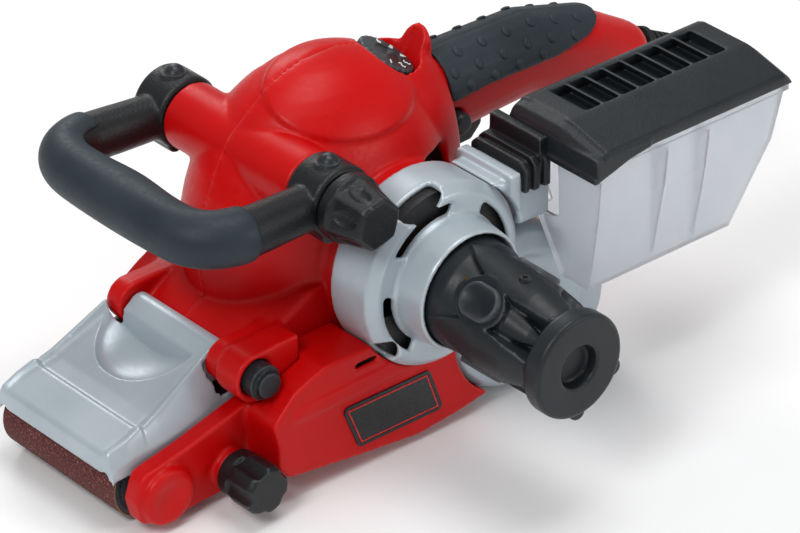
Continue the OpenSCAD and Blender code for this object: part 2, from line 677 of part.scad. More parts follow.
// ---------------------------------------------------------------- front guard cover
cover_profile = [[hinge_x - 2, hinge_z + 5.5], [hinge_x + 8, 55.6], [96, 41.5], [112, 36.4], [119.6, 32.8],
  [124, 28.4], [124.8, 24.4], [122.6, 23.6], [121.4, 27.6], [117.6, 31], [111, 33.6], [96, 38.2],
  [hinge_x + 8, 52.4], [hinge_x - 2, 51.4]];
wing_pts = [[hinge_x + 4, 52], [hinge_x + 9, 57], [96, 42], [112, 37], [119.6, 33], [124, 26],
  [121.4, 24.8], [117, 30], [108, 31], [80, 27.6], [54, 23], [50, 25], [50, 33], [hinge_x, 42]];
dish = [84.5, 0, 62.4];
barrel_y0 = -23.4;
barrel_l = 54.8;
module front_cover() color(grey) difference() {
  union() {
    slab(-half_w - 1, belt_w + 2) soft_poly(cover_profile, 0.9);
    // side wings
    for (s = [-1, 1]) slab(s > 0 ? half_w + 0.8 : -half_w - 3.2, 2.4) soft_poly(wing_pts, 1.6);
    // crowned side ridges
    for (s = [-1, 1]) slab(s > 0 ? half_w - 7 : -half_w - 3.2, 10.2)
      soft_poly([[hinge_x + 9, 52], [hinge_x + 11, 59], [78, 56.6], [92, 49.6], [106, 40], [113, 36],
        [111, 34.4], [96, 39]], 1.6);
    // step band above the front lip
    slab(-half_w - 1, belt_w + 2) soft_poly([[104, 37], [106, 40.8], [113, 38.6], [120.4, 34.4],
      [118.4, 31.4]], 1.2);
    intersection() {
      translate(dish) scale([1, 1.2, 1]) sphere(r = 27);
      slab(-34, 68) polygon([[60, 30], [60, 57.4], [hinge_x + 8, 55.4], [96, 41.3], [112, 36.2], [112, 30]]);
    }
    ycyl(hinge_x, barrel_y0, hinge_z, hinge_r, barrel_l);
  }
  ycyl(hinge_x, -60, hinge_z, 3 + run, 120);
  // clear of the ears and the hood at every angle
  for (y = [barrel_y0 - 40.3, barrel_y0 + barrel_l + 0.3]) ycyl(hinge_x, y, hinge_z, 12.4, 40);
  // thumb hollow
  translate(dish) scale([1, 1.2, 1]) sphere(r = 24.6);
}
module cover_button() color(black) union() {
  ycyl(hinge_x, 48.5, hinge_z, 7.8, 12);
  ycyl(hinge_x, 60.1, hinge_z, 5.6, 3.6);
}
module hinge_pin() color(steel) union() {
  ycyl(hinge_x, -35.8, hinge_z, 3, 76);
  ycyl(hinge_x, -36.8, hinge_z, 5, 1.4);
}

// ---------------------------------------------------------------- front handle
module bar(p, q, r1, r2) {
  hull() {
    translate(p) sphere(r = r1, $fn = 18);
    translate(q) sphere(r = r2, $fn = 18);
  }
}
corner_x = grip_x - 10;
corner_y = 53;
bend_y = 43;
grip_end = corner_x - 13;
module front_handle() color(black) difference() {
  union() {
    for (s = [-1, 1]) {
      ycyl(tube_x, s > 0 ? 40.4 : -59.4, tube_z, 16.4, 19);
      bar([tube_x + 8, s * arm_y, tube_z - 1], [corner_x, s * corner_y, grip_z], 9.4, grip_r - 0.8);
      translate([tube_x, s * 50, tube_z + 10]) cylinder(r1 = 6.6, r2 = 5.4, h = 6.4);
    }
    bar([corner_x, corner_y, grip_z], [grip_x, bend_y, grip_z], grip_r - 0.8, grip_r - 1.6);
    bar([corner_x, -corner_y, grip_z], [grip_x, -bend_y, grip_z], grip_r - 0.8, grip_r - 1.6);
    bar([grip_x, bend_y, grip_z], [grip_x, -bend_y, grip_z], grip_r - 1.6, grip_r - 1.6);
  }
  ycyl(tube_x, -70, tube_z, 4.3, 140);
  ycyl(tube_x, -62, tube_z, 8, 6);
}
module handle_grip() color(soft) difference() {
  union() {
    for (s = [-1, 1]) {
      bar([corner_x, s * corner_y, grip_z], [grip_x, s * bend_y, grip_z], grip_r + 0.4, grip_r);
      bar([grip_end - 6, s * (corner_y - 1), grip_z], [corner_x, s * corner_y, grip_z], grip_r,
        grip_r + 0.4);
    }
    bar([grip_x, bend_y, grip_z], [grip_x, -bend_y, grip_z], grip_r, grip_r);
  }
  front_handle_core();
  box([20, -90, 90], [grip_end, 90, 160]);
}
module front_handle_core() {
  for (s = [-1, 1])
    bar([tube_x + 8, s * arm_y, tube_z - 1], [corner_x, s * corner_y, grip_z], 9.4, grip_r - 0.8);
  bar([corner_x, corner_y, grip_z], [grip_x, bend_y, grip_z], grip_r - 0.8, grip_r - 1.6);
  bar([corner_x, -corner_y, grip_z], [grip_x, -bend_y, grip_z], grip_r - 0.8, grip_r - 1.6);
  bar([grip_x, bend_y, grip_z], [grip_x, -bend_y, grip_z], grip_r - 1.6, grip_r - 1.6);
}
module handle_screws() color(black) for (s = [-1, 1])
  translate([tube_x, s * 50, tube_z + 16.4]) intersection() {
    translate([0, 0, -1.4]) sphere(r = 5);
    cylinder(r = 6, h = 6);
  }
module clamp_bolt() color(steel) union() {
  ycyl(tube_x, -61, tube_z, 4.2, 128);
  ycyl(tube_x, -61.4, tube_z, 7.6, 5);
}
module clamp_knob() color(black) difference() {
  union() {
    ycyl(tube_x, 59.9, tube_z, 15, 6);
    ycyl(tube_x, 65.8, tube_z, 15, 16.4, 11.6);
  }
  for (i = [0 : 5]) translate([tube_x, 0, tube_z]) rotate([0, i * 60 + 15, 0])
    translate([20.4, 76, 0]) rotate([0, 0, 12]) scale([0.9, 1.9, 1.1]) sphere(r = 7.4);
  ycyl(tube_x, 59, tube_z, 4.24, 12);
}
module tracking_knob() color(black) difference() {
  union() {
    ycyl(knob_x, 56, knob_z, 10.4, 8);
    ycyl(knob_x, 63.9, knob_z, 11, 12.1);
    ycyl(knob_x, 76, knob_z, 11, 2, 9.6);
  }
  for (i = [0 : 4]) translate([knob_x, 0, knob_z]) rotate([0, i * 72, 0])
    ycyl(14.4, 62, 0, 5.6, 30);
  ycyl(knob_x, 50, knob_z, 2.96, 20);
}
module tracking_screw() color(steel) ycyl(knob_x, 42, knob_z, 2.96, 28);

// ---------------------------------------------------------------- switch gear
module trigger() color(black) difference() {
  slab(-4.8, 9.6) soft_poly([[-91, 103], [-91, 92], [-96, 86.5], [-104, 87], [-109.6, 93],
    [-109.6, 103]], 2);
  translate([-101, 0, 93]) cylinder(r = 3.4, h = 14);
}
module trigger_spring() color(steel) translate([-101, 0, 99.2]) coil(4, 2.6, 2.2, 0.4);
module switch_block() color([0.13, 0.13, 0.14]) box([-126.8, -7.5, 108.4], [-79.5, 7.5, 121]);
module lock_button() color(black) union() {
  ycyl(lock_x, 11, lock_z, 4.9, 9.8);
  ycyl(lock_x, 20.7, lock_z, 4.9, 1.2, 4);
}
module speed_dial() color(soft) dial_frame() difference() {
  union() {
    translate([0, 0, -5]) cylinder(r = dial_r, h = 5);
    for (i = [0 : 23]) rotate(i * 15) translate([dial_r, 0, -5]) cylinder(r = 0.5, h = 4.6, $fn = 16);
  }
  translate([0, 0, -6]) cylinder(r = 3, h = 4.6);
}
module control_board() color([0.10, 0.32, 0.18]) union() {
  box([-65, -13, 122.4], [-34, 13, 124]);
  box([-63, -11, 123.9], [-56, -3, 128]);
  box([-46, -10, 123.9], [-38, 8, 128]);
  dial_frame() translate([0, 0, -12]) cylinder(r = 7, h = 3);
  dial_frame() translate([0, 0, -18]) cylinder(r = 3, h = 8);
  dial_frame() translate([0, 0, -11]) cylinder(r = 3 - run, h = 9.4);
}

housing_left();
housing_right();
housing_screws();
side_housing();
belt_frame();
platen();
graphite_pad();
platen_screws();
sanding_belt();
front_roller();
roller_bearings();
front_axle();
roller_yoke();
tension_spring();
tension_lever();
lever_pin();
drive_roller();
roller_sleeve();
drive_bearings();
large_pulley();
toothed_belt();
motor_pulley();
motor_bearings();
armature();
armature_winding();
commutator();
blower_fan();
stator_core();
stator_windings();
carbon_brushes();
brush_holders();
brush_springs();
brush_caps();
motor_housing();
motor_end_cap();
belt_drive_cover();
dust_duct();
dust_collar();
dust_box();
dust_lid();
dust_filter();
front_cover();
hinge_pin();
cover_button();
front_handle();
handle_grip();
handle_screws();
clamp_bolt();
clamp_knob();
tracking_knob();
tracking_screw();
label_plate();
rear_grip();
trigger();
trigger_spring();
switch_block();
lock_button();
speed_dial();
control_board();
cable_gland();
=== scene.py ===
"""Handheld belt sander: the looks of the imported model.

Most moulded pieces are rounded copies of the CAD solids. The front handle and its soft grip, the
motor end cap with its brush caps, the nose cover, the clamp knob, the dust lid and collar, the
rear grip's dots, the label's outline and the speed dial are modelled here. Every surface gets a
procedural material. Shapes are worked out in millimetres and turned into metres as they are made.
"""

import json
import math

import bmesh
import bpy
import numpy as np
from mathutils import Matrix, Vector


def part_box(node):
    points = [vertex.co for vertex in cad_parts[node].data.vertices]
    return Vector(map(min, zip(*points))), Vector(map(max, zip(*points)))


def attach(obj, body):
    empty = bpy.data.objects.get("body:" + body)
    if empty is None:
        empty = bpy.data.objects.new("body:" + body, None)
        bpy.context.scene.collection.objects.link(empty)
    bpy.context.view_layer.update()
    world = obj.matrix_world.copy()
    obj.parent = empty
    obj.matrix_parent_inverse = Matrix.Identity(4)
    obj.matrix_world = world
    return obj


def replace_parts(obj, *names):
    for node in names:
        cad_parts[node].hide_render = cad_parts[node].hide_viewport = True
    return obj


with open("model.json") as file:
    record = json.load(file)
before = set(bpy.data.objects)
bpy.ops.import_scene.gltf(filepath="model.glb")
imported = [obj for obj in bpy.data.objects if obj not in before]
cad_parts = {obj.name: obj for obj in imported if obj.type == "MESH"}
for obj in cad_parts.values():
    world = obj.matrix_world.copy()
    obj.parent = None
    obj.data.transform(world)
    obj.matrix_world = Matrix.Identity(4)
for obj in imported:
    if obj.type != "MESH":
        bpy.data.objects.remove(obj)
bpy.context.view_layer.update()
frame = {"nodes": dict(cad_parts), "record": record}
NODES = frame["nodes"]
BODY_OF = {n: b for b, ns in frame["record"]["behaviour"]["bodies"].items() for n in ns}
MM = 0.001

# places shared with the CAD part, in millimetres and degrees
MOTOR_X, MOTOR_Z = -27.0, 80.0
CAP_BACK, CAP_FRONT = 84.0, 150.0           # shell of the motor end cap, along Y
CAP_DROP = 6.0                              # how far the end cap leans down over its length
PETALS = (-3.0, 87.0, 177.0, 267.0)         # round the end cap
BRUSHES = (42.0, 132.0, 222.0, 312.0)
BRUSH_Y = 115.0
TUBE_X, TUBE_Z = 15.0, 123.6                # axis that the front handle tilts about
EYE_Y = 50.0                                # middle of each handle end, off the centre plane
GRIP_Z = 124.5
HINGE_X, HINGE_Z = 58.5, 56.0               # axis of the nose cover
LID_SEAT_Z = 124.0
DIAL_AT, DIAL_PITCH, DIAL_ROLL = (-57.0, 3.5, 145.6), -29, -13
LABEL = ((26.0, 34.0), (17.0, 12.0), (-30.0, 12.0), (-22.0, 34.0))
LABEL_Y = 70.0


# ------------------------------------------------------------------ materials
class Shader:
    """A node tree with short helpers; all patterns use object space, in metres."""

    def __init__(self, name):
        self.mat = bpy.data.materials.new(name)
        self.mat.use_nodes = True
        self.nt = self.mat.node_tree
        self.bsdf = self.nt.nodes["Principled BSDF"]
        self.space = self.add("ShaderNodeTexCoord").outputs["Object"]

    def add(self, kind, **props):
        n = self.nt.nodes.new(kind)
        for k, v in props.items():
            setattr(n, k, v)
        return n

    def link(self, a, b):
        self.nt.links.new(a, b)

    def noise(self, scale, detail=2.0, rough=0.5, stretch=None):
        n = self.add("ShaderNodeTexNoise")
        n.inputs["Scale"].default_value = scale
        n.inputs["Detail"].default_value = detail
        n.inputs["Roughness"].default_value = rough
        src = self.space
        if stretch:
            m = self.add("ShaderNodeMapping")
            m.inputs["Scale"].default_value = stretch
            self.link(src, m.inputs["Vector"])
            src = m.outputs["Vector"]
        self.link(src, n.inputs["Vector"])
        return n.outputs["Fac"]

    def ramp(self, src, *stops):
        """Colour over a value, by (value, colour) stops."""
        r = self.add("ShaderNodeValToRGB")
        while len(r.color_ramp.elements) < len(stops):
            r.color_ramp.elements.new(0.5)
        for e, (pos, col) in zip(r.color_ramp.elements, stops):
            e.position = pos
            e.color = (*col, 1.0)
        self.link(src, r.inputs["Fac"])
        return r.outputs["Color"]

    def spread(self, src, lo, hi, out_lo, out_hi):
        """Maps lo to hi onto out_lo to out_hi."""
        r = self.add("ShaderNodeMapRange")
        for k, v in (("From Min", lo), ("From Max", hi), ("To Min", out_lo), ("To Max", out_hi)):
            r.inputs[k].default_value = v
        self.link(src, r.inputs["Value"])
        return r.outputs["Result"]

    def blend(self, fac, under, colour):
        """A colour laid over the colour output under, as far as fac says."""
        m = self.add("ShaderNodeMix", data_type="RGBA")
        self.link(fac, m.inputs["Factor"])
        self.link(under, m.inputs[6])
        m.inputs[7].default_value = (*colour, 1.0)
        return m.outputs[2]

    def across(self, vector):
        """Size of a vector's Y part."""
        split = self.add("ShaderNodeSeparateXYZ")
        self.link(vector, split.inputs["Vector"])
        size = self.add("ShaderNodeMath", operation="ABSOLUTE")
        self.link(split.outputs["Y"], size.inputs[0])
        return size.outputs[0]

    def bump(self, height, distance, strength, under=None):
        b = self.add("ShaderNodeBump")
        b.inputs["Distance"].default_value = distance
        b.inputs["Strength"].default_value = strength
        self.link(height, b.inputs["Height"])
        if under is not None:
            self.link(under, b.inputs["Normal"])
        return b.outputs["Normal"]

    def set(self, **values):
        for k, v in values.items():
            s = self.bsdf.inputs[k.replace("_", " ")]
            if hasattr(v, "is_output"):
                self.link(v, s)
            else:
                s.default_value = v


def plastic(name, low, high, rough, grain=2600.0, depth=0.00006, wear=None, coat=0.0,
            metallic=0.0, strength=0.5, specular=0.28):
    """Moulded plastic: fine grain, slow colour drift, rubbed edges where wear is given."""
    s = Shader(name)
    colour = s.ramp(s.noise(22.0, 3.0), (0.32, low), (0.68, high))
    if wear:
        edge = s.add("ShaderNodeNewGeometry").outputs["Pointiness"]
        colour = s.blend(s.spread(edge, 0.515, 0.56, 0.0, 0.55), colour, wear)
    fine = s.noise(grain, 3.0, 0.6)
    s.set(Base_Color=colour, Metallic=metallic,
          Roughness=s.spread(s.noise(grain * 0.2, 2.0), 0.3, 0.7, rough - 0.05, rough + 0.06),
          Normal=s.bump(fine, depth, strength),
          Coat_Weight=coat, Coat_Roughness=0.2, Specular_IOR_Level=specular)
    return s.mat


def metal(name, low, high, rough, stretch=(40.0, 900.0, 900.0), metallic=1.0):
    """Machined or drawn metal: streaks along one direction."""
    s = Shader(name)
    streak = s.noise(1.0, 4.0, 0.6, stretch)
    s.set(Base_Color=s.ramp(streak, (0.3, low), (0.7, high)), Metallic=metallic,
          Roughness=s.spread(s.noise(180.0, 3.0), 0.3, 0.7, rough - 0.06, rough + 0.1),
          Normal=s.bump(streak, 0.00003, 0.35))
    return s.mat


def grit():
    """Aluminium oxide grit glued on dark red cloth; the side edges show the cloth."""
    s = Shader("grit_on_cloth")
    cells = s.add("ShaderNodeTexVoronoi")
    cells.inputs["Scale"].default_value = 1500.0
    s.link(s.space, cells.inputs["Vector"])
    speck = s.ramp(s.noise(1050.0, 3.0, 0.8),
                   (0.32, (0.014, 0.002, 0.003)), (0.50, (0.100, 0.014, 0.014)),
                   (0.60, (0.19, 0.036, 0.032)), (0.68, (0.55, 0.30, 0.24)))
    drift = s.blend(s.spread(s.noise(35.0, 3.0), 0.3, 0.7, 0.0, 0.35), speck, (0.05, 0.010, 0.009))
    side = s.across(s.add("ShaderNodeNewGeometry").outputs["Normal"])
    rough = s.bump(s.noise(700.0, 4.0, 0.7), 0.0003, 0.8)
    s.set(Base_Color=s.blend(s.spread(side, 0.8, 0.9, 0.0, 1.0), drift, (0.24, 0.15, 0.10)),
          Roughness=0.82, Normal=s.bump(cells.outputs["Distance"], 0.00035, 0.9, rough))
    return s.mat


def soft_rubber(name, low, high, rough, seam=False):
    """Soft over-moulding; seam draws the parting line along the middle plane."""
    s = Shader(name)
    colour = s.ramp(s.noise(30.0, 4.0), (0.3, low), (0.7, high))
    if seam:
        line = s.spread(s.across(s.space), 0.0002, 0.00055, 1.0, 0.0)
        colour = s.blend(line, colour, (0.004, 0.005, 0.006))
    s.set(Base_Color=colour, Specular_IOR_Level=0.3,
          Roughness=s.spread(s.noise(420.0), 0.3, 0.7, rough - 0.05, rough + 0.07),
          Normal=s.bump(s.noise(3200.0, 2.0), 0.00004, 0.45))
    return s.mat


def frosted():
    """Milky translucent box wall with faint flow marks and dust haze."""
    s = Shader("frosted_plastic")
    haze = s.noise(38.0, 5.0, 0.6, (1.0, 1.0, 0.45))
    s.set(Base_Color=s.ramp(haze, (0.25, (0.84, 0.88, 0.93)), (0.75, (0.94, 0.96, 0.985))),
          Transmission_Weight=0.78, IOR=1.28,
          Roughness=s.spread(haze, 0.25, 0.75, 0.30, 0.42),
          Normal=s.bump(s.noise(900.0, 2.0), 0.00003, 0.25))
    return s.mat


RED = plastic("red_housing", (0.47, 0.0006, 0.0010), (0.56, 0.0014, 0.0018), 0.38, grain=2900.0,
              depth=0.00005, wear=(0.68, 0.018, 0.017), strength=0.4, specular=0.2)
BLACK = plastic("black_grained", (0.0035, 0.0045, 0.0055), (0.0085, 0.0105, 0.0125), 0.36,
                grain=1150.0, depth=0.0003, wear=(0.07, 0.08, 0.09), strength=0.8, specular=0.36)
BLACK_FINE = plastic("black_smooth", (0.008, 0.0105, 0.013), (0.016, 0.020, 0.024), 0.38,
                     grain=3400.0, depth=0.00005, wear=(0.09, 0.10, 0.115), strength=0.4)
LID = plastic("lid_grained", (0.008, 0.011, 0.014), (0.015, 0.019, 0.023), 0.40, grain=1150.0,
              depth=0.0003, wear=(0.08, 0.09, 0.10), strength=0.8, specular=0.34)
SILVER = plastic("silver_grey", (0.36, 0.42, 0.465), (0.45, 0.51, 0.555), 0.33, grain=2300.0,
                 depth=0.00005, wear=(0.66, 0.71, 0.75), coat=0.15, metallic=0.25, strength=0.4)
GRIP = soft_rubber("grip_blue_grey", (0.013, 0.021, 0.028), (0.024, 0.035, 0.045), 0.50)
REAR_GRIP = soft_rubber("grip_rear", (0.013, 0.020, 0.026), (0.024, 0.033, 0.041), 0.56, seam=True)
RUBBER = soft_rubber("belt_rubber", (0.008, 0.008, 0.009), (0.018, 0.018, 0.019), 0.7)
GRIT = grit()
BOX = frosted()
STEEL = metal("steel", (0.42, 0.43, 0.45), (0.68, 0.69, 0.71), 0.30)
LAMINATION = metal("lamination", (0.14, 0.145, 0.15), (0.30, 0.31, 0.32), 0.42,
                   (900.0, 60.0, 900.0))
# stator core laminations made near black: painted shade, so the slots seen through the motor's ring
# windows read dark
PAINTED_SHADE_LAMINATION = metal("lamination_painted_shade", (0.006, 0.006, 0.007), (0.022, 0.022, 0.024), 0.5,
                  (900.0, 60.0, 900.0), 0.3)
SCREW = metal("blackened_screw", (0.02, 0.02, 0.022), (0.07, 0.07, 0.075), 0.35)
CAST = metal("cast_aluminium", (0.38, 0.39, 0.41), (0.55, 0.56, 0.58), 0.46, (160.0, 160.0, 160.0))
COPPER = metal("copper_wire", (0.42, 0.16, 0.07), (0.74, 0.34, 0.18), 0.30, (60.0, 2400.0, 60.0))
BRASS = metal("brass", (0.50, 0.34, 0.12), (0.78, 0.58, 0.28), 0.28)
GRAPHITE = plastic("graphite", (0.018, 0.018, 0.020), (0.045, 0.045, 0.048), 0.5, grain=1100.0,
                   depth=0.0001)
PAPER = plastic("filter_paper", (0.62, 0.60, 0.54), (0.78, 0.76, 0.70), 0.8, grain=1400.0,
                depth=0.0001)
BOARD = plastic("circuit_board", (0.010, 0.085, 0.030), (0.018, 0.13, 0.05), 0.35)
LABEL_BLACK = plastic("label_black", (0.005, 0.005, 0.006), (0.010, 0.010, 0.012), 0.24, coat=0.3)
LABEL_RED = plastic("label_red", (0.52, 0.004, 0.004), (0.62, 0.010, 0.008), 0.28, coat=0.3)
WHITE_INK = plastic("white_ink", (0.72, 0.73, 0.74), (0.82, 0.83, 0.84), 0.5)

NODES_OF = (
    (RED, "housing_left housing_right side_housing tension_lever"),
    (BLACK, "dust_collar front_handle clamp_knob tracking_knob"),
    (BLACK_FINE, "front_roller large_pulley blower_fan brush_caps motor_end_cap cover_button "
                 "handle_screws trigger switch_block lock_button speed_dial"),
    (LID, "dust_lid"),
    (SILVER, "motor_housing belt_drive_cover dust_duct front_cover"),
    (GRIP, "handle_grip"),
    (REAR_GRIP, "rear_grip"),
    (RUBBER, "roller_sleeve toothed_belt cable_gland"),
    (GRIT, "sanding_belt"),
    (BOX, "dust_box"),
    (STEEL, "platen platen_screws roller_bearings front_axle roller_yoke tension_spring lever_pin "
            "drive_bearings motor_pulley motor_bearings brush_springs hinge_pin clamp_bolt "
            "tracking_screw trigger_spring"),
    (LAMINATION, "armature"),
    (PAINTED_SHADE_LAMINATION, "stator_core"),
    (SCREW, "housing_screws"),
    (CAST, "belt_frame drive_roller"),
    (COPPER, "armature_winding commutator stator_windings"),
    (BRASS, "brush_holders"),
    (GRAPHITE, "graphite_pad carbon_brushes"),
    (PAPER, "dust_filter"),
    (BOARD, "control_board"),
    (LABEL_BLACK, "label_plate"),
)
MATERIAL_OF = {node: mat for mat, nodes in NODES_OF for node in nodes.split()}

for node_name, mat in MATERIAL_OF.items():
    data = NODES[node_name].data
    if not data.materials:
        data.materials.append(mat)
    for i in range(len(data.materials)):
        data.materials[i] = mat


# ------------------------------------------------------------------ pieces and meshes
def linked(name, data):
    """A new object in the scene."""
    o = bpy.data.objects.new(name, data)
    bpy.context.scene.collection.objects.link(o)
    return o


def evaluated(o):
    """The object's shape with its modifiers applied, as a new mesh."""
    return bpy.data.meshes.new_from_object(
        o.evaluated_get(bpy.context.evaluated_depsgraph_get()))


def add_piece(node, kind, mesh, mat):
    """Adds a piece that rides and is finished as a CAD node is, and returns it."""
    mesh.materials.clear()
    mesh.materials.append(mat)
    o = linked(f"{node}.{kind}", mesh)
    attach(o, BODY_OF[node])
    return o


def stand_in(node, kind, mesh):
    """Adds a piece that takes the place of a CAD node."""
    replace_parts(add_piece(node, kind, mesh, MATERIAL_OF[node]), node)


def shade_smooth(mesh):
    mesh.polygons.foreach_set("use_smooth", [True] * len(mesh.polygons))


def to_mesh(bm):
    """Turns a closed bmesh into a mesh with its faces outwards."""
    bmesh.ops.recalc_face_normals(bm, faces=bm.faces)
    return plain_mesh(bm)


def plain_mesh(bm):
    me = bpy.data.meshes.new("made")
    bm.to_mesh(me)
    bm.free()
    return me


def cad_copy(node):
    """A welded copy of a CAD node's mesh."""
    bm = bmesh.new()
    bm.from_mesh(NODES[node].data)
    bmesh.ops.remove_doubles(bm, verts=bm.verts, dist=2e-6)
    return plain_mesh(bm)


def soften(mesh, rounds, hold=None):
    """Laplacian passes that round the edges; points that hold() marks stay."""
    n = len(mesh.vertices)
    p = np.empty(n * 3)
    mesh.vertices.foreach_get("co", p)
    p = p.reshape(-1, 3)
    e = np.empty(len(mesh.edges) * 2, np.int64)
    mesh.edges.foreach_get("vertices", e)
    a, b = e[0::2], e[1::2]
    ends, others = np.concatenate([a, b]), np.concatenate([b, a])
    count = np.maximum(np.bincount(ends, minlength=n), 1)
    w = 0.5 * (np.ones(n) if hold is None else 1.0 - hold(p))
    for _ in range(rounds):
        mean = np.stack([np.bincount(ends, p[others, k], minlength=n) / count for k in range(3)],
                        1)
        p += w[:, None] * (mean - p)
    mesh.vertices.foreach_set("co", p.ravel())


def remeshed(source, voxel, rounds, keep, hold=None):
    """A closed mesh made again from voxels, rounded, and thinned to the share keep of its faces."""
    work = linked("work", source)
    r = work.modifiers.new("remesh", "REMESH")
    r.mode, r.voxel_size, r.adaptivity = "VOXEL", voxel * MM, 0.0
    dense = evaluated(work)
    work.modifiers.clear()
    soften(dense, rounds, hold)
    work.data = dense
    work.modifiers.new("thin", "DECIMATE").ratio = keep
    thinned = evaluated(work)
    bpy.data.objects.remove(work)
    shade_smooth(thinned)
    return thinned


def skin(bm, rings):
    """Closed solid through a list of equal rings of points, in millimetres."""
    rows = [[bm.verts.new(Vector(p) * MM) for p in ring] for ring in rings]
    n = len(rows[0])
    for r0, r1 in zip(rows, rows[1:]):
        for i in range(n):
            bm.faces.new((r0[i], r0[(i + 1) % n], r1[(i + 1) % n], r1[i]))
    bm.faces.new(list(reversed(rows[0])))
    bm.faces.new(rows[-1])


def circle(count):
    """Equal angles round a full turn, in radians."""
    return [2 * math.pi * i / count for i in range(count)]


def y_lathe(bm, x, z, profile, turns=72):
    """Solid of revolution about an axis along Y; profile is (y, radius) pairs."""
    skin(bm, [[(x + r * math.cos(t), y, z + r * math.sin(t)) for t in circle(turns)]
              for y, r in profile])


def z_lathe(bm, x, y, profile, turns=48):
    """Solid of revolution about an axis along Z; profile is (z, radius) pairs."""
    skin(bm, [[(x + r * math.cos(t), y + r * math.sin(t), z) for t in circle(turns)]
              for z, r in profile])


def x_prism(bm, outline, *places):
    """Prism along X through places, of a (y, z) outline."""
    skin(bm, [[(x, y, z) for y, z in outline] for x in places])


def y_prism(bm, outline, *places):
    """Prism along Y through places, of an (x, z) outline."""
    skin(bm, [[(x, y, z) for x, z in outline] for y in places])


def block(bm, x0, x1, y0, y1, z0, z1):
    x_prism(bm, [(y0, z0), (y1, z0), (y1, z1), (y0, z1)], x0, x1)


def smoothstep(v):
    v = np.clip(v, 0.0, 1.0)
    return v * v * (3.0 - 2.0 * v)


def between(v, *stations):
    """Straight-line value at v through (place, value) stations."""
    return np.interp(v, *zip(*stations))


# ------------------------------------------------------------------ rounded copies
def mid_seam(p):
    """Holds the parting faces of the two body halves."""
    return (np.abs(p[:, 1]) < 0.0013).astype(float)


for node_name, voxel, rounds, keep, hold in (
        ("housing_left", 0.9, 6, 0.34, mid_seam),
        ("housing_right", 0.9, 6, 0.34, mid_seam),
        ("side_housing", 0.8, 5, 0.4, None),
        ("motor_housing", 0.7, 6, 0.45, None),
        ("belt_drive_cover", 0.8, 5, 0.35, None),
        ("dust_duct", 0.7, 5, 0.4, None),
        ("tracking_knob", 0.5, 6, 0.5, None),
        ("cover_button", 0.45, 3, 0.4, None),
        ("rear_grip", 0.6, 4, 0.45, None),
        ("tension_lever", 0.5, 4, 0.4, None),
        ("trigger", 0.5, 4, 0.4, None),
        ("lock_button", 0.4, 3, 0.4, None)):
    stand_in(node_name, "moulded", remeshed(cad_copy(node_name), voxel, rounds, keep, hold))


# ------------------------------------------------------------------ front handle
def handle_path(steps=8):
    """Centre line of the loop from the far tube end to the near one, as dense points."""
    half = [(22.0, 49.9, 122.9), (40.0, 50.8, 123.4), (56.0, 51.6, 124.0), (66.0, 51.0, 124.4),
            (75.0, 46.6, GRIP_Z), (80.4, 38.0, GRIP_Z), (82.0, 24.0, GRIP_Z), (82.0, 0.0, GRIP_Z)]
    pts = [Vector((x, -y, z)) for x, y, z in half] + [Vector(p) for p in reversed(half[:-1])]
    out = []
    for i in range(len(pts) - 1):
        # Catmull-Rom curve from p1 to p2
        p0, p1, p2 = pts[max(i - 1, 0)], pts[i], pts[i + 1]
        p3 = pts[min(i + 2, len(pts) - 1)]
        for k in range(steps):
            t = k / steps
            out.append(0.5 * ((2 * p1) + (p2 - p0) * t + (2 * p0 - 5 * p1 + 4 * p2 - p3) * t * t
                              + (3 * p1 - p0 - 3 * p2 + p3) * t ** 3))
    out.append(pts[-1])
    return out


def handle_section(c):
    """Half width and half height of the core at c, and its bulge towards the machine."""
    near_tube = 1.0 - min(max((c.x - 30.0) / 36.0, 0.0), 1.0)
    middle = math.exp(-(c.y / 21.0) ** 2) * min(max((c.x - 70.0) / 10.0, 0.0), 1.0)
    return 10.7 - 1.3 * near_tube + 1.2 * middle, 10.9 - 0.6 * near_tube, 2.4 * middle


def handle_rings(path, grow):
    """Rings of the swept loop; grow(i, a) is what ring i adds at the angle a from inwards."""
    rings = []
    for i, c in enumerate(path):
        t = (path[min(i + 1, len(path) - 1)] - path[max(i - 1, 0)]).normalized()
        inward = Vector((0, 0, 1)).cross(t).normalized()
        up = t.cross(inward) * -1.0 if t.cross(inward).z < 0 else t.cross(inward)
        w, h, bulge = handle_section(c)
        ring = []
        for a in circle(56):
            g = grow(i, a)
            side = bulge if math.cos(a) > 0 else 0.0
            ring.append(c + inward * (math.cos(a) * (w + g + side)) + up * (math.sin(a) * (h + g)))
        rings.append(ring)
    return rings


